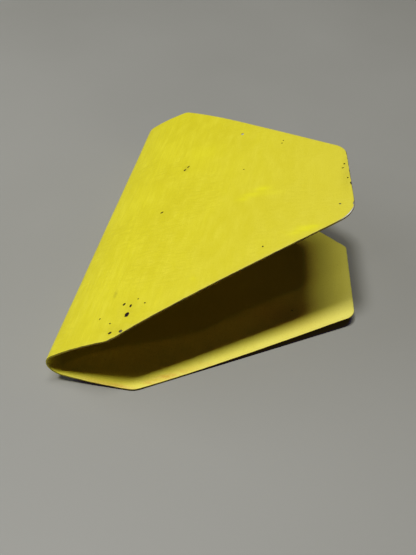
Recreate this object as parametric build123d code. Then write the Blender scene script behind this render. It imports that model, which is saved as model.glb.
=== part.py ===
from build123d import *
import os
from math import cos, radians, sin

# Felling wedge bent from one thin steel sheet, painted on both faces and cut to shape afterwards.
# The sheet is folded once, at mid-length, into an open V. Both leaves bow outwards, run at full
# width from the fold to a pair of clipped shoulders, then taper to a short free end.
#
# The wedge is first drawn about its own mid-plane: X runs from the fold towards the free ends,
# Y along the fold, and Z from the lower leaf to the upper one. It is then tipped so that it lies
# on the flat seat of the lower leaf, with its origin under the middle of its box.
# All lengths are millimetres and all angles are degrees.

# Sheet and paint
STEEL_THICKNESS = 0.4
COAT_THICKNESS = 0.1

# Side profile, along the middle of the steel, from the centre of the fold outwards.
# Each leaf leaves the fold and then straightens through the stretches below.
# The third stretch is flat: on the lower leaf it is the seat that the wedge lies on.
FOLD_RADIUS = 4.6
FOLD_HALF_TURN = 62.1
STRETCH_LENGTHS = (10.5, 10.0, 9.0, 12.0)
UPPER_TURNS = (8.2, 7.3, 0.0, 4.6)
LOWER_TURNS = (8.3, 7.5, 0.0, 5.1)
SEAT_STRETCH = 2
TAIL_LENGTH = 45.0

# Outline of one leaf, laid flat: distance from the fold and half-width on the -Y and +Y sides
FOLD_HALF_WIDTH = {-1: 49.8, 1: 50.4}
SHOULDER_REACH = {-1: 24.0, 1: 19.8}
SHOULDER_HALF_WIDTH = {-1: 48.6, 1: 51.4}
SHOULDER_RADIUS = {-1: 6.0, 1: 4.5}
END_REACH = {-1: 79.8, 1: 76.4}
END_HALF_WIDTH = {-1: 14.4, 1: 13.0}
# The corners of the free ends were trimmed by hand, so the two leaves differ
UPPER_END_RADIUS = {-1: 6.6, 1: 7.0}
LOWER_END_RADIUS = {-1: 3.8, 1: 1.8}
UPPER_SKEW = 0.014          # sideways drift of the upper leaf for each millimetre of reach
LOWER_SKEW = 0.0

# Room beyond the sheet for the cutting tool
MARGIN = 5.0
TOOL_HEIGHT = 80.0


def outward(turned):
    """Unit normal on the outside of the V where the sheet has turned this far from the fold."""
    return Vector(-cos(radians(turned)), sin(radians(turned)))


def onward(turned):
    """Unit direction along the sheet, away from the fold."""
    return Vector(sin(radians(turned)), cos(radians(turned)))


def stretches(turns):
    """Length and turn of every stretch of one leaf, half of the fold first and the tail last."""
    half_fold = radians(FOLD_HALF_TURN) * FOLD_RADIUS
    bends = list(zip(STRETCH_LENGTHS, turns))
    return [(half_fold, FOLD_HALF_TURN)] + bends + [(TAIL_LENGTH, 0.0)]


def along(start, turned, length, turn):
    """Point on the middle of the steel this far along one stretch."""
    if turn == 0.0:
        return start + onward(turned) * length
    radius = length / radians(turn)
    centre = start - outward(turned) * radius
    return centre + outward(turned + turn) * radius


def profile_point(turns, reach):
    """Point of the side profile at a distance from the fold, measured along the sheet."""
    start = Vector(0, 0)
    turned = 0.0
    for length, turn in stretches(turns):
        if reach <= length:
            return along(start, turned, reach, turn * reach / length)
        start = along(start, turned, length, turn)
        turned += turn
        reach -= length
    raise ValueError("the reach runs past the tail")


def leaf_line(turns, offset):
    """Edges of one leaf's side profile, at an offset outwards from the middle of the steel."""
    edges = []
    start = Vector(0, 0)
    turned = 0.0
    for length, turn in stretches(turns):
        stop = along(start, turned, length, turn)
        first = start + outward(turned) * offset
        last = stop + outward(turned + turn) * offset
        if turn == 0.0:
            edges.append(Line(first, last))
        else:
            middle = along(start, turned, length / 2, turn / 2)
            edges.append(ThreePointArc(first, middle + outward(turned + turn / 2) * offset, last))
        start = stop
        turned += turn
    return edges


def mirrored(edges):
    """The same edges below the mid-plane."""
    return [edge.mirror(Plane.XZ) for edge in edges]


def v_band(inner, outer):
    """Full-width layer of the V between two offsets from the middle of the steel."""
    upper_outer = leaf_line(UPPER_TURNS, outer)
    upper_inner = leaf_line(UPPER_TURNS, inner)
    lower_outer = mirrored(leaf_line(LOWER_TURNS, outer))
    lower_inner = mirrored(leaf_line(LOWER_TURNS, inner))
    upper_cap = Line(upper_outer[-1] @ 1, upper_inner[-1] @ 1)
    lower_cap = Line(lower_outer[-1] @ 1, lower_inner[-1] @ 1)
    edges = upper_outer + upper_inner + lower_outer + lower_inner + [upper_cap, lower_cap]
    section = Plane.XZ * make_face(edges)
    widest = max(SHOULDER_HALF_WIDTH.values()) + MARGIN
    return extrude(section, amount=widest, both=True)


def rounded(face, corner, radius):
    """The face with its corner nearest to a point rounded."""
    vertex = face.vertices().sort_by_distance(corner)[0]
    return fillet(vertex, radius)


def leaf_plan(turns, skew, end_radius):
    """Plan outline of one leaf, seen square to the mid-plane, with rounded corners."""
    def corner(side, reach, half_width):
        return Vector(profile_point(turns, reach).X, side * half_width + skew * reach)

    shoulders = {side: corner(side, SHOULDER_REACH[side], SHOULDER_HALF_WIDTH[side]) for side in (-1, 1)}
    ends = {side: corner(side, END_REACH[side], END_HALF_WIDTH[side]) for side in (-1, 1)}
    folds = {side: Vector(0, side * FOLD_HALF_WIDTH[side]) for side in (-1, 1)}
    backs = {side: folds[side] - Vector(MARGIN, 0) for side in (-1, 1)}
    loop = [backs[-1], folds[-1], shoulders[-1], ends[-1], ends[1], shoulders[1], folds[1], backs[1]]
    plan = make_face(Polyline(*loop, close=True))
    for side in (-1, 1):
        plan = rounded(plan, shoulders[side], SHOULDER_RADIUS[side])
        plan = rounded(plan, ends[side], end_radius[side])
    return plan


def outline_tool():
    """Everything inside the cut outline: the upper leaf's above the mid-plane, the lower's below."""
    above = extrude(leaf_plan(UPPER_TURNS, UPPER_SKEW, UPPER_END_RADIUS), amount=TOOL_HEIGHT)
    below = extrude(leaf_plan(LOWER_TURNS, LOWER_SKEW, LOWER_END_RADIUS), amount=-TOOL_HEIGHT)
    return above + below


def seat_tilt():
    """Angle between the lower leaf's flat seat and the mid-plane."""
    return 90.0 - FOLD_HALF_TURN - sum(LOWER_TURNS[:SEAT_STRETCH])


def make_layers():
    """The three layers of the sheet, lying on the seat with the origin under the box's middle."""
    half_steel = STEEL_THICKNESS / 2
    coated = half_steel + COAT_THICKNESS
    offsets = {
        "folded_sheet": (-half_steel, half_steel),
        "outer_paint_coat": (half_steel, coated),
        "inner_paint_coat": (-coated, -half_steel),
    }
    tool = outline_tool()
    tipped = Rot(0, -seat_tilt(), 0)
    layers = {node: tipped * (v_band(*pair) & tool) for node, pair in offsets.items()}
    box = Compound(list(layers.values())).bounding_box()
    to_origin = Pos(-box.center().X, -box.center().Y, -box.min.Z)
    return {node: to_origin * layer for node, layer in layers.items()}


def main():
    os.makedirs("parts", exist_ok=True)
    for node, layer in make_layers().items():
        layer.label = node
        export_step(layer, f"parts/{node}.step")
        size = layer.bounding_box().size
        print(f"{node}: {size.X:.2f} x {size.Y:.2f} x {size.Z:.2f} mm, {layer.volume:.0f} mm3")


main()
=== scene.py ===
import math

import bpy
import numpy as np
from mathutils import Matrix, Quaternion, Vector, geometry


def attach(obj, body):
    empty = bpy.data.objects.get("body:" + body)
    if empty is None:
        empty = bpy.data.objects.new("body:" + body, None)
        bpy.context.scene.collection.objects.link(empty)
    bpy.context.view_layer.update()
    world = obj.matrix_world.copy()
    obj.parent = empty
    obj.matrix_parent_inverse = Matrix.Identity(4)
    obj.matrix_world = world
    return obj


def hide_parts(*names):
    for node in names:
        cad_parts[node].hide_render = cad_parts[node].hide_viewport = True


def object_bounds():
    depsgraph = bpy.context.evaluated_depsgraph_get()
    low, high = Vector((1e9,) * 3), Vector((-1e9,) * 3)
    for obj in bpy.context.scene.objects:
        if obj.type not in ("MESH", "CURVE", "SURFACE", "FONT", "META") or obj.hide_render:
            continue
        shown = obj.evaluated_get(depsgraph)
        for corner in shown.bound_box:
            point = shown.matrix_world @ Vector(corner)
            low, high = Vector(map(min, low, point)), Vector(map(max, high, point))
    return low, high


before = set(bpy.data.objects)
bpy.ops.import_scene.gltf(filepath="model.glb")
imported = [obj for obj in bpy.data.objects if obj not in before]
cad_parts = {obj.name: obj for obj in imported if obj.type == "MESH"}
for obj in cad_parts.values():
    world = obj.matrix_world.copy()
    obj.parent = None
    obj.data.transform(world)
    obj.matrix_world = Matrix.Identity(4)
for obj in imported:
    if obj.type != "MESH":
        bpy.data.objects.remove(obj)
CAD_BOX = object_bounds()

# A wedge bent from one thin steel sheet: bare steel in the middle, a film of yellow enamel on each
# face. The three layers are built from one description of the sheet laid flat, in millimetres:
# "reach" is the distance from the centre of the fold, positive on the upper leaf and negative on
# the lower one, and "across" runs along the fold. The mesh itself is in metres.
MM = 0.001

# ---------------------------------------------------------------- the sheet and its bend (mm, deg)
HALF_STEEL = 0.2
COAT = 0.1
FOLD_RADIUS = 4.6
FOLD_HALF_TURN = 62.1
# Past the fold each leaf goes on turning, at a first rate (degrees per mm) that fades away over
# FADE millimetres, and with a slow steady drift the other way.
FADE = 32.15
BEND = {"upper": (1.173, -0.194), "lower": (1.155, -0.169)}
SEAT_TILT = 12.1
TWIST = -0.000244           # the upper leaf's rise, in mm per mm of reach and mm across
TWIST_AXIS = -14.0          # the line across at which that twist is nothing
PROFILE_REACH = 95.0        # how far the side profile is worked out, and in what steps
PROFILE_STEP = 0.01

# Outline of one leaf laid flat, on the -Y (near) and +Y (far) sides
FOLD_HALF_WIDTH = {-1: 49.8, 1: 50.4}
SHOULDER = {-1: (24.0, 48.6), 1: (19.8, 51.4)}
END = {-1: (79.8, 14.4), 1: (76.4, 13.0)}
SHOULDER_RADIUS = {-1: 6.0, 1: 4.5}
UPPER_END_RADIUS = {-1: 6.6, 1: 7.0}
LOWER_END_RADIUS = {-1: 3.8, 1: 1.8}
FOLD_BLEND_RADIUS = 60.0
UPPER_SKEW = 0.014

# Mesh density (mm)
GRID_REACH = 80.0
GRID_ACROSS = (-52.0, 53.0)
GRID_STEP = 0.9
FOLD_STEP = 0.35
FOLD_ZONE = 7.0
LOOP_STEP = 0.5
RIM_CLEARANCE = 0.15        # grid points keep this far beyond the rounded rim
CHIP_CLEARANCE = 0.2        # and this far from a chip
CHIP_ZONE = 3.0             # a grid point further than this from a chip's middle is clear of it
LOOP_TOLERANCE = 1e-5       # points closer than this are merged

# Cut edge: how far the paint is worn back from it, and how its rim is rounded (mm)
WORN_BACK = 0.04
LEAST_WORN = 0.02
WORN_FADE = 0.35            # how far in from the rim the paint looks rubbed
RIM_RADIUS = 0.2
RIM_RINGS = (0.03, 0.08, 0.14)
RIM_FILM = 0.3              # share of the paint's thickness left at the very rim
STEEL_CHAMFER = 0.04
BRUSHED_FROM = 0.5          # brush marks start this far from the rim

# Chips have ragged outlines: number of points, and waves as (lobes, share of the chip's size)
CHIP_POINTS = 16
CHIP_RAGS = ((2, 0.16), (5, 0.10))

rng = np.random.default_rng(7)


def running_sum(rate):
    """What a rate, sampled along the side profile, adds up to at each sample."""
    return np.concatenate([[0.0], np.cumsum((rate[1:] + rate[:-1]) / 2 * PROFILE_STEP)])


def mid_line(first_rate, drift):
    """The side profile's middle line: reach, x, z and heading, sampled finely along the sheet."""
    reach = np.linspace(0.0, PROFILE_REACH, round(PROFILE_REACH / PROFILE_STEP) + 1)
    half_fold = math.radians(FOLD_HALF_TURN) * FOLD_RADIUS
    past = np.maximum(reach - half_fold, 0.0)
    turn = np.degrees(np.minimum(reach, half_fold) / FOLD_RADIUS)
    turn = turn + first_rate * FADE * (1.0 - np.exp(-past / FADE)) + drift * past
    heading = np.radians(turn)
    return reach, running_sum(np.sin(heading)), running_sum(np.cos(heading)), heading


MID_LINES = {leaf: mid_line(*BEND[leaf]) for leaf in BEND}


def sines(reach, across, waves):
    """Sum of plane waves (amplitude, wavelength along reach, wavelength across, phase)."""
    total = np.zeros_like(reach)
    for amplitude, long_wave, cross_wave, phase in waves:
        total += amplitude * np.sin(2 * math.pi * (reach / long_wave + across / cross_wave) + phase)
    return total


def random_waves(count, amplitude, long_range, cross_range):
    """Seeded waves whose wavelengths lie in the two ranges, of either slant."""
    waves = []
    for _ in range(count):
        slant = rng.choice((-1.0, 1.0))
        waves.append((amplitude, rng.uniform(*long_range), slant * rng.uniform(*cross_range),
                      rng.uniform(0, 2 * math.pi)))
    return waves


# Unevenness of the sheet, brush marks in the paint and the wander of its rim: how many waves, how
# high (mm), and the ranges of their wavelengths along reach and across (mm)
DENTS = random_waves(7, 0.012, (16.0, 45.0), (20.0, 60.0))
BRUSHING = random_waves(9, 0.0016, (2.6, 6.0), (25.0, 90.0))
RIM_WANDER = (6, 0.010, (1.5, 7.0), (1.5, 7.0))


def bent(reach, across, offset):
    """Points of the wedge about its own mid-plane, at an offset outwards from the steel's middle."""
    out = np.zeros((len(reach), 3))
    for leaf, side in (("upper", 1.0), ("lower", -1.0)):
        at = reach >= 0 if side > 0 else reach < 0
        table, xs, zs, headings = MID_LINES[leaf]
        s = np.abs(reach[at])
        heading = np.interp(s, table, headings)
        lift = offset[at] + sines(reach[at], across[at], DENTS)
        x = np.interp(s, table, xs) - lift * np.cos(heading)
        z = np.interp(s, table, zs) + lift * np.sin(heading)
        if side > 0:
            z = z + TWIST * (across[at] - TWIST_AXIS) * s
        out[at] = np.stack([x, across[at], side * z], axis=1)
    return out


def tipped(points):
    """The same points with the lower leaf's seat level."""
    tilt = math.radians(SEAT_TILT)
    x = points[:, 0] * math.cos(tilt) - points[:, 2] * math.sin(tilt)
    z = points[:, 0] * math.sin(tilt) + points[:, 2] * math.cos(tilt)
    return np.stack([x, points[:, 1], z], axis=1)


# ---------------------------------------------------------------- outlines laid flat
def rounded_loop(corners):
    """Closed loop of points through corners (reach, across, radius), round at each corner."""
    count = len(corners)
    points = []
    for i, (reach, across, radius) in enumerate(corners):
        here = np.array([reach, across])
        back = np.array(corners[i - 1][:2]) - here
        ahead = np.array(corners[(i + 1) % count][:2]) - here
        back = back / np.linalg.norm(back)
        ahead = ahead / np.linalg.norm(ahead)
        half_angle = math.acos(float(back @ ahead)) / 2
        towards = (back + ahead) / np.linalg.norm(back + ahead)
        centre = here + towards * radius / math.sin(half_angle)
        first = here + back * radius / math.tan(half_angle) - centre
        last = here + ahead * radius / math.tan(half_angle) - centre
        start = math.atan2(first[1], first[0])
        sweep = (math.atan2(last[1], last[0]) - start + math.pi) % (2 * math.pi) - math.pi
        steps = max(2, math.ceil(abs(sweep) * radius / LOOP_STEP))
        for angle in start + sweep * np.linspace(0.0, 1.0, steps + 1):
            points.append(centre + radius * np.array([math.cos(angle), math.sin(angle)]))
    return resampled(np.array(points))


def resampled(points):
    """The loop with its long straight runs divided into short steps."""
    out = []
    for here, there in zip(points, np.roll(points, -1, axis=0)):
        pieces = max(1, math.ceil(np.linalg.norm(there - here) / LOOP_STEP))
        out += [here + (there - here) * k / pieces for k in range(pieces)]
    return np.array(out)


def sheet_corners():
    """Corners of the whole sheet laid flat, in order: up the near side and back down the far one."""
    def leaf_corner(leaf, side, place, radius):
        reach, half_width = place
        skew = UPPER_SKEW * reach if leaf > 0 else 0.0
        return (leaf * reach, side * half_width + skew, radius)

    near = [
        leaf_corner(-1, -1, END[-1], LOWER_END_RADIUS[-1]),
        leaf_corner(-1, -1, SHOULDER[-1], SHOULDER_RADIUS[-1]),
        (0.0, -FOLD_HALF_WIDTH[-1], FOLD_BLEND_RADIUS),
        leaf_corner(1, -1, SHOULDER[-1], SHOULDER_RADIUS[-1]),
        leaf_corner(1, -1, END[-1], UPPER_END_RADIUS[-1]),
    ]
    far = [
        leaf_corner(1, 1, END[1], UPPER_END_RADIUS[1]),
        leaf_corner(1, 1, SHOULDER[1], SHOULDER_RADIUS[1]),
        (0.0, FOLD_HALF_WIDTH[1], FOLD_BLEND_RADIUS),
        leaf_corner(-1, 1, SHOULDER[1], SHOULDER_RADIUS[1]),
        leaf_corner(-1, 1, END[1], LOWER_END_RADIUS[1]),
    ]
    return near + far


def inset(loop, depth):
    """The loop moved inwards; it runs counter-clockwise, and depth may differ along it."""
    along = np.roll(loop, -1, axis=0) - np.roll(loop, 1, axis=0)
    along = along / np.linalg.norm(along, axis=1)[:, None]
    inwards = np.stack([-along[:, 1], along[:, 0]], axis=1)
    return loop + inwards * np.broadcast_to(depth, len(loop))[:, None]


def wear_depth(loop, wander, nicks):
    """How far the paint is worn back along the cut edge, with nicks (reach, across, spread, depth)."""
    depth = WORN_BACK + sines(loop[:, 0], loop[:, 1], wander)
    for reach, across, spread, bite in nicks:
        away = np.hypot(loop[:, 0] - reach, loop[:, 1] - across)
        depth += bite * np.exp(-(away / spread) ** 2)
    return np.maximum(depth, LEAST_WORN)


def chip_loop(reach, across, length, width, angle):
    """Ragged closed loop of one paint chip: centre, size and slant."""
    turn = np.linspace(0.0, 2 * math.pi, CHIP_POINTS, endpoint=False)
    ragged = np.ones(CHIP_POINTS)
    for lobes, share in CHIP_RAGS:
        ragged += share * np.sin(lobes * turn + rng.uniform(0, 6))
    a = length / 2 * ragged * np.cos(turn)
    b = width / 2 * ragged * np.sin(turn)
    slant = math.radians(angle)
    along = reach + a * math.cos(slant) - b * math.sin(slant)
    aside = across + a * math.sin(slant) + b * math.cos(slant)
    return np.stack([along, aside], axis=1)


# ---------------------------------------------------------------- turning loops into layers
def inside(points, loop):
    """Which points lie inside a closed loop."""
    result = np.zeros(len(points), bool)
    for (x0, y0), (x1, y1) in zip(loop, np.roll(loop, -1, axis=0)):
        if y0 == y1:
            continue
        spans = (y0 > points[:, 1]) != (y1 > points[:, 1])
        crossing = x0 + (points[:, 1] - y0) * (x1 - x0) / (y1 - y0)
        result ^= spans & (points[:, 0] < crossing)
    return result


def distance_to(points, loop):
    """Distance from each point to a closed loop."""
    best = np.full(len(points), np.inf)
    for start, stop in zip(loop, np.roll(loop, -1, axis=0)):
        run = stop - start
        share = np.clip((points - start) @ run / (run @ run), 0.0, 1.0)
        gap = points - start - share[:, None] * run
        best = np.minimum(best, np.einsum("ij,ij->i", gap, gap))
    return np.sqrt(best)


def grid_points():
    """Even grid over the sheet, closer together round the fold."""
    outer = np.arange(FOLD_ZONE, GRID_REACH, GRID_STEP)
    middle = np.arange(-FOLD_ZONE + FOLD_STEP, FOLD_ZONE, FOLD_STEP)
    reaches = np.concatenate([-outer[::-1], middle, outer])
    acrosses = np.arange(*GRID_ACROSS, GRID_STEP)
    reach, across = np.meshgrid(reaches, acrosses, indexing="ij")
    return np.stack([reach.ravel(), across.ravel()], axis=1)


def triangulated(outline, rings, holes):
    """Flat points and triangles of the area inside the outline and outside the holes."""
    grid = grid_points()
    clear = inside(grid, outline) & (distance_to(grid, outline) > RIM_RADIUS + RIM_CLEARANCE)
    for hole in holes:
        near = np.hypot(*(grid - hole.mean(axis=0)).T) < CHIP_ZONE
        gap = np.full(len(grid), np.inf)
        gap[near] = distance_to(grid[near], hole)
        clear &= (gap > CHIP_CLEARANCE) & ~inside(grid, hole)
    points = []
    edges = []
    for loop in [outline] + rings + holes:
        first = len(points)
        points += [Vector(p) for p in loop]
        edges += [(first + i, first + (i + 1) % len(loop)) for i in range(len(loop))]
    points += [Vector(p) for p in grid[clear]]
    found, _, found_triangles, _, _, _ = geometry.delaunay_2d_cdt(points, edges, [], 0, LOOP_TOLERANCE)
    flat = np.array([tuple(p) for p in found])
    triangles = np.array(found_triangles)
    middles = flat[triangles].mean(axis=1)
    keep = inside(middles, outline)
    for hole in holes:
        keep &= ~inside(middles, hole)
    return flat, triangles[keep]


def compact(flat, triangles):
    """Drops points that no triangle uses."""
    used = np.unique(triangles)
    renumber = np.full(len(flat), -1)
    renumber[used] = np.arange(len(used))
    return flat[used], renumber[triangles]


def rim_edges(triangles):
    """Directed edges that belong to one triangle only, in the order that they are met."""
    seen = {}
    for a, b, c in triangles:
        for edge in ((a, b), (b, c), (c, a)):
            seen[edge] = True
    return [edge for edge in seen if (edge[1], edge[0]) not in seen]


def layer_mesh(name, flat, triangles, outer, inner):
    """Closed layer of the bent sheet between two offsets, its cut faces in material slot 1."""
    count = len(flat)
    reach = flat[:, 0]
    across = flat[:, 1]
    points = np.concatenate([bent(reach, across, outer), bent(reach, across, inner)])
    walls = [(b, a, a + count, b + count) for a, b in rim_edges(triangles)]
    faces = [tuple(t) for t in triangles] + [tuple(t[::-1] + count) for t in triangles] + walls
    mesh = bpy.data.meshes.new(name)
    mesh.from_pydata((tipped(points) * MM).tolist(), [], [tuple(int(i) for i in f) for f in faces])
    mesh.polygons.foreach_set("use_smooth", [True] * len(faces))
    slots = [0] * (2 * len(triangles)) + [1] * len(walls)
    mesh.polygons.foreach_set("material_index", slots)
    mesh.update()
    sheet = np.tile(np.concatenate([flat, np.zeros((count, 1))], axis=1), (2, 1))
    attribute = mesh.attributes.new("sheet_mm", "FLOAT_VECTOR", "POINT")
    attribute.data.foreach_set("vector", sheet.astype(np.float32).ravel())
    sharpen_walls(mesh)
    piece = bpy.data.objects.new(name, mesh)
    bpy.context.scene.collection.objects.link(piece)
    return piece


def sharpen_walls(mesh):
    """Keeps the shading of the faces and of the cut walls apart."""
    wall_keys = set()
    for polygon in mesh.polygons:
        if polygon.material_index == 1:
            wall_keys.update(polygon.edge_keys)
    upright = {tuple(sorted(key)) for key in wall_keys}
    half = len(mesh.vertices) // 2
    for edge in mesh.edges:
        a, b = sorted(edge.vertices)
        if (a, b) in upright and b - a != half:
            edge.use_edge_sharp = True


def set_mask(piece, name, values):
    """Stores one number per point of a layer, the same on both its faces."""
    attribute = piece.data.attributes.new(name, "FLOAT", "POINT")
    attribute.data.foreach_set("value", np.tile(values, 2).astype(np.float32))


def blobs(flat, spots):
    """Soft round patches (reach, across, radius along, radius across, strength) added up."""
    total = np.zeros(len(flat))
    for reach, across, long_radius, cross_radius, strength in spots:
        away = ((flat[:, 0] - reach) / long_radius) ** 2 + ((flat[:, 1] - across) / cross_radius) ** 2
        total += strength * np.exp(-away)
    return np.clip(total, 0.0, 1.0)


# ---------------------------------------------------------------- the three layers
# Chips in the outer paint of the upper leaf: reach, across, length, width, slant in degrees
UPPER_CHIPS = [
    (26.7, -40.9, 1.50, 1.20, 35), (24.7, -37.4, 0.78, 0.84, 30), (26.9, -38.2, 0.76, 0.84, 20),
    (23.6, -46.0, 0.88, 0.80, 10), (26.65, -45.85, 1.05, 0.85, 35), (30.8, -37.8, 0.52, 0.42, 0),
    (28.4, -36.2, 0.46, 0.36, 0), (18.5, -40.9, 0.58, 0.38, 40), (22.5, -43.0, 0.52, 0.42, 20),
    (28.3, 15.1, 1.00, 0.62, 60), (29.2, 16.4, 0.92, 0.58, 60), (25.6, -3.6, 0.92, 0.62, 20),
    (44.6, 28.9, 1.00, 0.82, 0), (58.3, 21.9, 0.46, 0.38, 0), (58.0, 20.6, 0.50, 0.42, 0),
    (58.2, -22.5, 0.50, 0.42, 0), (75.9, -9.7, 0.56, 0.44, 0), (48.1, 10.2, 0.46, 0.34, 0),
    (55.3, -29.4, 0.42, 0.32, 0), (76.3, 6.5, 0.56, 0.46, 0), (76.0, 4.8, 0.56, 0.42, 0),
    (77.4, 0.3, 0.48, 0.40, 0),
]
# Chips out of the camera's sight, so guesses: under the lower leaf and on the inner faces
LOWER_CHIPS = [
    (-31.0, 12.0, 1.20, 0.70, 25), (-36.5, -17.0, 0.75, 0.50, 70), (-22.0, -33.0, 0.80, 0.50, 10),
    (-44.0, 21.5, 0.60, 0.45, 0), (-58.0, -9.0, 0.70, 0.42, 120), (-70.0, 6.0, 0.80, 0.48, 40),
    (-27.0, 41.0, 0.75, 0.55, 15), (-12.5, -8.0, 0.50, 0.40, 0),
]
INNER_CHIPS = [
    (-62.0, -15.0, 0.40, 0.30, 0), (36.0, 14.0, 0.55, 0.36, 10), (52.0, -19.0, 0.50, 0.34, 80),
]
# Nicks bitten out of the paint at the cut edge: reach, across, spread and depth
UPPER_NICKS = [
    (77.5, 11.0, 0.50, 0.55), (77.7, 9.0, 0.45, 0.50), (78.2, 3.4, 0.40, 0.35),
    (78.6, -1.9, 0.45, 0.52), (79.4, -9.9, 0.50, 0.34), (79.0, -13.6, 2.6, 0.20),
    (24.3, -47.6, 0.60, 0.20), (41.2, -37.6, 0.50, 0.14),
]
LOWER_NICKS = [(-60.0, 22.5, 0.8, 0.30), (-19.5, 50.8, 1.0, 0.30), (-40.0, 37.0, 0.6, 0.22)]
# Soft patches, as reach, across, radius along reach, radius across and strength: steel with its
# paint rubbed off, painted nearly white as a highlight, dark scratches and scuffs, brighter yellow
# patches, orange stains on the lower leaf (mostly a streak inside its near edge), and painted shade
# that browns and darkens the inner face of the upper leaf, inside the V
# Where the paint is rubbed off: bare steel, painted nearly white on its faces as a highlight
BARED_GLINT = [
    (78.6, -13.2, 3.4, 3.0, 1.0), (26.65, -45.85, 0.40, 0.40, 0.22), (44.6, 28.9, 0.8, 0.8, 0.8),
    (-19.5, 51.2, 1.5, 1.5, 0.8),
]
SCRATCHES = [
    (20.6, -33.4, 0.16, 1.2, 0.7), (28.8, 15.7, 0.9, 1.3, 0.35), (26.9, -39.6, 2.6, 2.4, 0.12),
    (24.6, -45.6, 3.2, 1.4, 0.14), (76.9, 2.0, 1.0, 7.0, 0.22),
]
# Brighter yellow patches on the upper leaf
BRIGHT_PATCHES = [
    (54.9, 0.2, 2.2, 0.9, 0.9), (52.4, -1.9, 2.4, 0.7, 0.8), (50.2, -3.4, 1.6, 0.7, 0.7),
    (58.0, -2.0, 2.8, 0.8, 0.35), (68.0, -17.4, 2.2, 0.9, 0.9), (65.4, -18.9, 1.9, 0.7, 0.6),
    (70.4, -17.0, 1.4, 0.6, 0.5), (42.0, -31.5, 0.7, 0.5, 0.5), (33.0, 22.0, 5.0, 4.0, 0.3),
]
STAINS = [
    (-20.5, -48.3, 3.4, 0.5, 0.8), (-14.0, -48.8, 4.0, 0.5, 0.6), (-27.2, -45.5, 1.6, 0.5, 0.8),
    (-29.0, -44.4, 1.6, 0.5, 1.0), (-31.0, -43.1, 1.6, 0.5, 1.0), (-33.0, -41.9, 1.6, 0.5, 0.9),
    (-35.2, -40.5, 1.6, 0.5, 0.7), (-37.6, -39.0, 1.8, 0.5, 0.6), (-41.0, -37.1, 2.4, 0.5, 0.4),
    (-60.0, -17.0, 9.0, 5.0, 0.25),
]
# Painted shade inside the V: the upper leaf's inner face is browned and darkened
INNER_V_SHADE = [(46.0, 0.0, 34.0, 150.0, 1.0)]


def make_coat(name, side, chips, nicks, cover):
    """One paint film; side is +1 for the outside of the V and -1 for the inside."""
    wander = random_waves(*RIM_WANDER)
    sheet = rounded_loop(sheet_corners())
    outline = inset(sheet, wear_depth(sheet, wander, nicks))
    rings = [inset(outline, depth) for depth in RIM_RINGS]
    holes = [chip_loop(*chip) for chip in chips]
    flat, triangles = compact(*triangulated(outline, rings, holes))
    to_rim = distance_to(flat, outline)
    share = 1.0 - np.clip(to_rim / RIM_RADIUS, 0.0, 1.0)
    film = COAT * (RIM_FILM + (1.0 - RIM_FILM) * np.sqrt(1.0 - share ** 2))
    film = film + np.where(to_rim > BRUSHED_FROM, sines(flat[:, 0], flat[:, 1], BRUSHING), 0.0)
    face = side * (HALF_STEEL + film)
    back = np.full(len(flat), side * HALF_STEEL)
    if side > 0:
        piece = layer_mesh(name, flat, triangles, face, back)
    else:
        piece = layer_mesh(name, flat, triangles, back, face)
    set_mask(piece, "worn", np.exp(-to_rim / WORN_FADE))
    for mask, spots in cover.items():
        set_mask(piece, mask, blobs(flat, spots))
    return piece


def make_steel():
    """The bare sheet between the two films, its cut edge slightly broken."""
    outline = rounded_loop(sheet_corners())
    rings = [inset(outline, STEEL_CHAMFER)]
    flat, triangles = compact(*triangulated(outline, rings, []))
    rim = distance_to(flat, outline) < STEEL_CHAMFER / 2
    half = np.where(rim, HALF_STEEL - STEEL_CHAMFER, HALF_STEEL)
    piece = layer_mesh("steel_sheet", flat, triangles, half, -half)
    set_mask(piece, "bared_glint", blobs(flat, BARED_GLINT))
    return piece


# ---------------------------------------------------------------- materials
def rgb(red, green, blue):
    """Colour with full opacity, from linear components."""
    return (red, green, blue, 1.0)


# Enamel on the outside of the V
YELLOW = rgb(0.725, 0.667, 0.036)
DEEP_YELLOW = rgb(0.64, 0.575, 0.025)
PALE_YELLOW = rgb(0.77, 0.71, 0.055)
# Painted shade: the outer enamel darkens towards this colour away from the fold
OUTER_END_SHADE = rgb(0.65, 0.58, 0.062)
# Enamel on the inside
DUSTY_YELLOW = rgb(0.86, 0.79, 0.105)
DUSTY_DEEP = rgb(0.82, 0.735, 0.085)
DUSTY_PALE = rgb(0.89, 0.83, 0.15)
INNER_DUST = rgb(0.87, 0.80, 0.185)
# What marks the enamel
SPECK = rgb(0.50, 0.42, 0.02)
# Painted shade colour for the upper leaf's inner face, inside the V
SHADE_BROWN = rgb(0.60, 0.46, 0.045)
BARE = rgb(0.50, 0.45, 0.14)
OLIVE = rgb(0.20, 0.16, 0.02)
BRIGHT = rgb(0.80, 0.78, 0.018)
RUST = rgb(0.70, 0.34, 0.045)
# Broken edge of the enamel
BROKEN_LIGHT = rgb(0.22, 0.18, 0.022)
BROKEN_DARK = rgb(0.10, 0.08, 0.012)
# Steel under the enamel
SCALE_DARK = rgb(0.014, 0.012, 0.009)
SCALE_BROWN = rgb(0.040, 0.027, 0.014)
PIT = rgb(0.008, 0.007, 0.006)
# Bare steel, painted nearly white as a highlight of its shine
RUBBED_STEEL_GLINT = rgb(0.86, 0.84, 0.78)
# Cut edge of the sheet
OVERSPRAY = rgb(0.40, 0.34, 0.025)
THIN_OVERSPRAY = rgb(0.24, 0.19, 0.018)
FOLD_EDGE_YELLOW = rgb(0.66, 0.59, 0.05)
EDGE_GRIME = rgb(0.08, 0.055, 0.02)
END_EDGE_ORANGE = rgb(0.50, 0.38, 0.05)
EDGE_NEAR_BLACK = rgb(0.04, 0.035, 0.03)
# Floor
FLOOR_GREY = rgb(0.282, 0.282, 0.267)
FLOOR_PALE = rgb(0.297, 0.297, 0.282)


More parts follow.
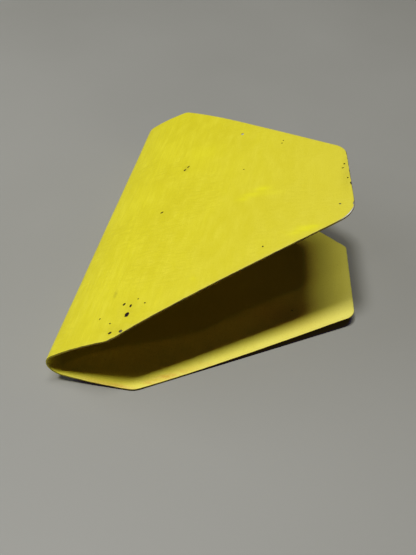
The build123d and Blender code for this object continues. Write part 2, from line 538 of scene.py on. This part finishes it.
class Nodes:
    """Small helper that adds and links shader nodes in one material."""

    def __init__(self, name):
        self.material = bpy.data.materials.new(name)
        self.material.use_nodes = True
        self.tree = self.material.node_tree
        self.shader = self.tree.nodes["Principled BSDF"]

    def add(self, kind, inputs=None, **settings):
        node = self.tree.nodes.new(kind)
        for key, value in settings.items():
            setattr(node, key, value)
        for key, value in (inputs or {}).items():
            self.put(node.inputs[key], value)
        return node

    def put(self, socket, value):
        if isinstance(value, bpy.types.NodeSocket):
            self.tree.links.new(value, socket)
        else:
            socket.default_value = value

    def attribute(self, name, output):
        return self.add("ShaderNodeAttribute", attribute_name=name).outputs[output]

    def mapped(self, vector, scale):
        node = self.add("ShaderNodeMapping", {"Vector": vector, "Scale": scale})
        return node.outputs["Vector"]

    def noise(self, vector, scale, detail=4.0, roughness=0.5, distortion=0.0):
        settings = {"Vector": vector, "Scale": scale, "Detail": detail, "Roughness": roughness,
                    "Distortion": distortion}
        return self.add("ShaderNodeTexNoise", settings).outputs["Fac"]

    def remap(self, value, low, high, to_low, to_high):
        settings = {"Value": value, "From Min": low, "From Max": high, "To Min": to_low, "To Max": to_high}
        return self.add("ShaderNodeMapRange", settings).outputs["Result"]

    def math(self, operation, *values):
        node = self.add("ShaderNodeMath", operation=operation)
        for socket, value in zip(node.inputs, values):
            self.put(socket, value)
        return node.outputs["Value"]

    def from_fold(self, sheet):
        """Distance from the fold along either leaf, in mm."""
        reach = self.add("ShaderNodeSeparateXYZ", {"Vector": sheet}).outputs["X"]
        return self.math("ABSOLUTE", reach)

    def mix(self, factor, a, b, blend="MIX"):
        node = self.add("ShaderNodeMix", data_type="RGBA", blend_type=blend)
        self.put(node.inputs["Factor"], factor)
        self.put(node.inputs["A"], a)
        self.put(node.inputs["B"], b)
        return node.outputs["Result"]

    def bump(self, height, strength, distance, normal=None):
        settings = {"Height": height, "Strength": strength, "Distance": distance}
        node = self.add("ShaderNodeBump", settings)
        if normal is not None:
            self.put(node.inputs["Normal"], normal)
        return node.outputs["Normal"]


def enamel(name, base, deep, pale, end_tone, masks):
    """Satin enamel: blotches, streaks both ways, a tone that grows away from the fold (painted shade on
    the outer enamel, a paler tint on the inner), specks and masked marks.
    """
    n = Nodes(name)
    sheet = n.attribute("sheet_mm", "Vector")
    blotch = n.noise(sheet, 0.055, detail=3.0, roughness=0.55, distortion=0.4)
    patch = n.noise(n.mapped(sheet, (0.35, 0.16, 1.0)), 1.0, detail=4.0, roughness=0.6)
    streak = n.noise(n.mapped(sheet, (1.1, 0.10, 1.0)), 1.0, detail=3.0, roughness=0.65)
    ripple = n.noise(n.mapped(sheet, (0.30, 1.15, 1.0)), 1.0, detail=3.0, roughness=0.6, distortion=0.6)
    zone = n.noise(sheet, 0.045, detail=1.0)
    rippled = n.remap(zone, 0.42, 0.6, 0.0, 1.0)
    grain = n.noise(n.mapped(sheet, (2.6, 2.0, 1.0)), 1.0, detail=3.0, roughness=0.7)
    colour = n.mix(n.remap(blotch, 0.35, 0.65, 0.0, 1.0), base, deep)
    colour = n.mix(n.remap(patch, 0.42, 0.72, 0.0, 0.6), colour, pale)
    colour = n.mix(n.remap(streak, 0.38, 0.66, 0.0, 0.65), colour, deep)
    colour = n.mix(n.math("MULTIPLY", rippled, n.remap(ripple, 0.44, 0.66, 0.0, 1.0)), colour, deep)
    # Away from the fold the colour moves towards the free-end tone; on the outer enamel that is painted
    # shade
    colour = n.mix(n.remap(n.from_fold(sheet), 15.0, 80.0, 0.0, 0.85), colour, end_tone)
    colour = n.mix(n.remap(grain, 0.54, 0.78, 0.0, 0.38), colour, SPECK)
    for mask, (tint, most) in masks.items():
        amount = n.math("MULTIPLY", n.attribute(mask, "Fac"), n.remap(grain, 0.3, 0.7, 0.5 * most, most))
        colour = n.mix(amount, colour, tint)
    n.put(n.shader.inputs["Base Color"], colour)
    n.put(n.shader.inputs["Roughness"], n.remap(patch, 0.3, 0.7, 0.38, 0.52))
    n.shader.inputs["Specular IOR Level"].default_value = 0.45
    fine = n.bump(grain, 0.55, 0.07 * MM)
    combed = n.bump(streak, 0.50, 0.14 * MM, fine)
    wavy = n.bump(n.math("MULTIPLY", rippled, ripple), 0.60, 0.20 * MM, combed)
    n.put(n.shader.inputs["Normal"], wavy)
    return n.material


def paint_edge():
    """The broken edge of the enamel film, deeper and duller than its face."""
    n = Nodes("enamel_broken_edge")
    sheet = n.attribute("sheet_mm", "Vector")
    grain = n.noise(sheet, 2.6, detail=3.0)
    colour = n.mix(n.remap(grain, 0.35, 0.65, 0.0, 1.0), BROKEN_LIGHT, BROKEN_DARK)
    n.put(n.shader.inputs["Base Color"], colour)
    n.put(n.shader.inputs["Roughness"], n.remap(grain, 0.3, 0.7, 0.5, 0.7))
    return n.material


def scaled_steel():
    """Rolled steel under the paint: dark scale with a little rust, and nearly white where the paint is
    rubbed off, a painted highlight on the bare metal.
    """
    n = Nodes("scaled_steel")
    sheet = n.attribute("sheet_mm", "Vector")
    cloud = n.noise(sheet, 0.7, detail=5.0)
    pits = n.noise(sheet, 4.0, detail=3.0)
    colour = n.mix(n.remap(cloud, 0.4, 0.65, 0.0, 1.0), SCALE_DARK, SCALE_BROWN)
    colour = n.mix(n.remap(pits, 0.55, 0.75, 0.0, 0.7), colour, PIT)
    # Rubbed-off spots: bare steel with a painted highlight, nearly white
    rubbed = n.math("MULTIPLY", n.attribute("bared_glint", "Fac"), n.remap(pits, 0.25, 0.6, 1.0, 0.75))
    colour = n.mix(rubbed, colour, RUBBED_STEEL_GLINT)
    n.put(n.shader.inputs["Base Color"], colour)
    n.put(n.shader.inputs["Roughness"], n.remap(pits, 0.3, 0.7, 0.45, 0.75))
    n.put(n.shader.inputs["Normal"], n.bump(pits, 0.5, 0.05 * MM))
    n.shader.inputs["Metallic"].default_value = 0.15
    return n.material


def cut_edge():
    """The sheared edge of the sheet: overspray and grime, lighter yellow near the fold, lighter orange
    towards the free ends, and near-black where the paint is rubbed off."""
    n = Nodes("painted_cut_edge")
    sheet = n.attribute("sheet_mm", "Vector")
    marks = n.noise(n.mapped(sheet, (2.5, 2.5, 1.0)), 1.0, detail=4.0, roughness=0.7)
    torn = n.noise(sheet, 0.35, detail=4.0, roughness=0.6)
    colour = n.mix(n.remap(marks, 0.35, 0.65, 0.0, 1.0), OVERSPRAY, THIN_OVERSPRAY)
    colour = n.mix(n.remap(torn, 0.5, 0.7, 0.0, 0.7), colour, EDGE_GRIME)
    from_fold = n.from_fold(sheet)
    colour = n.mix(n.remap(from_fold, 2.0, 26.0, 0.85, 0.0), colour, FOLD_EDGE_YELLOW)
    colour = n.mix(n.remap(from_fold, 68.0, 76.0, 0.0, 0.5), colour, END_EDGE_ORANGE)
    rubbed = n.math("MULTIPLY", n.attribute("bared_glint", "Fac"), n.remap(marks, 0.3, 0.6, 0.9, 0.4))
    colour = n.mix(rubbed, colour, EDGE_NEAR_BLACK)
    n.put(n.shader.inputs["Base Color"], colour)
    n.put(n.shader.inputs["Roughness"], n.remap(marks, 0.3, 0.7, 0.4, 0.65))
    n.put(n.shader.inputs["Normal"], n.bump(marks, 0.4, 0.04 * MM))
    n.shader.inputs["Metallic"].default_value = 0.1
    return n.material


# ---------------------------------------------------------------- stage, light and camera (metres)
FLOOR_HALF = 3.0


def make_floor():
    """Plain pale floor, level with the lowest point of the wedge."""
    mesh = bpy.data.meshes.new("floor")
    signs = ((-1, -1), (1, -1), (1, 1), (-1, 1))
    mesh.from_pydata([(x * FLOOR_HALF, y * FLOOR_HALF, 0.0) for x, y in signs], [], [(0, 1, 2, 3)])
    floor = bpy.data.objects.new("floor", mesh)
    bpy.context.scene.collection.objects.link(floor)
    floor.location.z = CAD_BOX[0][2]
    n = Nodes("pale_floor")
    place = n.add("ShaderNodeTexCoord").outputs["Object"]
    cloud = n.noise(place, 9.0, detail=3.0)
    colour = n.mix(n.remap(cloud, 0.35, 0.65, 0.0, 1.0), FLOOR_GREY, FLOOR_PALE)
    n.put(n.shader.inputs["Base Color"], colour)
    n.put(n.shader.inputs["Roughness"], n.remap(cloud, 0.3, 0.7, 0.55, 0.65))
    mesh.materials.append(n.material)


# Lights: a compact key lamp high on the near left, a dimmer strip that carries on from it over the
# wedge and a little past its free ends, a faint window on the near left and a pale wall on the
# left. Angles are degrees and powers watts.
LAMP_HEIGHT = 1.1
LAMP_HEADING = 34.0         # of the line that the two ceiling lamps lie on, from +X
LAMP_COLOUR = (1.0, 0.99, 0.965)
KEY_TILT = -16.5            # from straight above the wedge, along the heading
KEY_ASIDE = 0.02            # and this far to the left of the heading
KEY_SIZE = (0.15, 0.15)
KEY_POWER = 7.6
STRIP_TILTS = (-11.0, 12.2)
STRIP_WIDTH = 0.12
STRIP_POWER = 4.1
DAYLIGHT = (0.98, 0.99, 1.0)
WINDOW_DIRECTION = (-0.49, -0.62, 0.61)
WINDOW_DISTANCE = 2.0
WINDOW_SIZE = (0.10, 0.10)
WINDOW_POWER = 1.1
WALL_DIRECTION = (-0.84, -0.02, 0.54)
WALL_DISTANCE = 1.3
WALL_SIZE = (0.9, 0.6)
WALL_POWER = 4.2
ROOM_STRENGTH = 0.014
ROOM_COLOUR = rgb(1.0, 1.0, 0.99)
# The camera's soft toe: scene light and what is left of it, for red, green and blue. The curve
# goes on from the last of these points in a straight line to full light.
TOES = (
    ((0.0, 0.006), (0.03, 0.0125), (0.058, 0.023), (0.13, 0.118)),
    ((0.0, 0.0045), (0.02, 0.0070), (0.043, 0.0130), (0.056, 0.0220), (0.13, 0.116)),
    ((0.0, 0.0), (0.007, 0.0022), (0.05, 0.030), (0.13, 0.110)),
)


def area_light(name, place, rotation, size, power, colour):
    """Rectangular lamp at a place, facing along its own -Z."""
    data = bpy.data.lights.new(name, "AREA")
    data.shape = "RECTANGLE"
    data.size, data.size_y = size
    data.energy = power
    data.color = colour
    lamp = bpy.data.objects.new(name, data)
    lamp.location = place
    lamp.rotation_mode = "QUATERNION"
    lamp.rotation_quaternion = rotation
    bpy.context.scene.collection.objects.link(lamp)


def above(tilt, aside=0.0):
    """Place at lamp height, tilted this far from straight above the wedge along the heading."""
    heading = math.radians(LAMP_HEADING)
    away = LAMP_HEIGHT * math.tan(math.radians(tilt))
    x = away * math.cos(heading) - aside * math.sin(heading)
    y = away * math.sin(heading) + aside * math.cos(heading)
    return Vector((x, y, LAMP_HEIGHT))


def side_light(name, direction, distance, size, power):
    """Lamp in a direction seen from the wedge, facing it."""
    towards = Vector(direction).normalized()
    facing = (-towards).to_track_quat("-Z", "Y")
    area_light(name, towards * distance, facing, size, power, DAYLIGHT)


def make_light():
    """Key lamp, overhead strip, faint window, a pale wall on the left and a dim room."""
    turn = Quaternion((0.0, 0.0, 1.0), math.radians(LAMP_HEADING))
    area_light("key_lamp", above(KEY_TILT, KEY_ASIDE), turn, KEY_SIZE, KEY_POWER, LAMP_COLOUR)
    first, last = (above(tilt) for tilt in STRIP_TILTS)
    size = ((last - first).length, STRIP_WIDTH)
    area_light("ceiling_strip", (first + last) / 2, turn, size, STRIP_POWER, LAMP_COLOUR)
    side_light("window", WINDOW_DIRECTION, WINDOW_DISTANCE, WINDOW_SIZE, WINDOW_POWER)
    side_light("left_wall", WALL_DIRECTION, WALL_DISTANCE, WALL_SIZE, WALL_POWER)
    world = bpy.data.worlds.new("room")
    bpy.context.scene.world = world
    world.use_nodes = True
    background = world.node_tree.nodes["Background"]
    background.inputs["Color"].default_value = ROOM_COLOUR
    background.inputs["Strength"].default_value = ROOM_STRENGTH


CAMERA_EYE = (13.15 * MM, -116.3 * MM, 130.4 * MM)
CAMERA_TARGET = (-4.15 * MM, -13.1 * MM, 7.55 * MM)
CAMERA_ROLL = 2.33          # degrees
CAMERA_LENS = 35.86         # millimetres, like the sensor's width
CAMERA_SENSOR = 36.0
CAMERA_CLIP = (0.01, 20.0)


def make_camera():
    """Hand-held close view from the near side, above the upper leaf's free end."""
    data = bpy.data.cameras.new("camera")
    data.lens = CAMERA_LENS
    data.sensor_width = CAMERA_SENSOR
    data.clip_start, data.clip_end = CAMERA_CLIP
    camera = bpy.data.objects.new("camera", data)
    camera.location = CAMERA_EYE
    look = (Vector(CAMERA_TARGET) - Vector(CAMERA_EYE)).to_track_quat("-Z", "Y")
    roll = Quaternion((0.0, 0.0, 1.0), math.radians(CAMERA_ROLL))
    camera.rotation_mode = "QUATERNION"
    camera.rotation_quaternion = look @ roll
    bpy.context.scene.collection.objects.link(camera)
    bpy.context.scene.camera = camera


def set_response():
    """Standard view with the soft toe in each channel's curve."""
    response = bpy.context.scene.view_settings
    response.view_transform = "Standard"
    response.use_curve_mapping = True
    for curve, toe in zip(response.curve_mapping.curves, TOES):
        curve.points[0].location = toe[0]
        for light, kept in toe[1:]:
            curve.points.new(light, kept)
        for point in curve.points:
            point.handle_type = "VECTOR"
    response.curve_mapping.update()


def settle(pieces):
    """Moves all pieces together so that their box sits centred in the CAD box, on its base."""
    points = np.concatenate([np.array([v.co for v in p.data.vertices]) for p in pieces])
    low, high = points.min(axis=0), points.max(axis=0)
    cad_low, cad_high = np.array(CAD_BOX)
    shift = (cad_low + cad_high) / 2 - (low + high) / 2
    shift[2] = cad_low[2] - low[2]
    for piece in pieces:
        co = np.array([v.co for v in piece.data.vertices]) + shift
        piece.data.vertices.foreach_set("co", co.astype(np.float32).ravel())
        piece.data.update()


# ---------------------------------------------------------------- the model
make_camera()
set_response()
make_light()
make_floor()

steel = make_steel()
outer = make_coat("outer_enamel", 1, UPPER_CHIPS + LOWER_CHIPS, UPPER_NICKS + LOWER_NICKS,
                  {"scratched": SCRATCHES, "brightened": BRIGHT_PATCHES})
inner = make_coat("inner_enamel", -1, INNER_CHIPS, LOWER_NICKS, {"stained": STAINS, "painted_shade": INNER_V_SHADE})
settle([steel, outer, inner])

outer_paint = enamel("outer_yellow_enamel", YELLOW, DEEP_YELLOW, PALE_YELLOW, OUTER_END_SHADE,
                     {"brightened": (BRIGHT, 0.8), "scratched": (OLIVE, 1.0), "worn": (BARE, 0.2)})
# On the inner enamel the upper leaf's face inside the V is browned as painted shade
inner_paint = enamel("inner_yellow_enamel", DUSTY_YELLOW, DUSTY_DEEP, DUSTY_PALE, INNER_DUST,
                     {"painted_shade": (SHADE_BROWN, 0.9), "stained": (RUST, 0.95), "worn": (BARE, 0.2)})
broken_edge = paint_edge()
for piece, materials in ((steel, (scaled_steel(), cut_edge())), (outer, (outer_paint, broken_edge)),
                         (inner, (inner_paint, broken_edge))):
    for material in materials:
        piece.data.materials.append(material)
    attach(piece, "root")

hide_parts("folded_sheet")
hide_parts("outer_paint_coat")
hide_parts("inner_paint_coat")
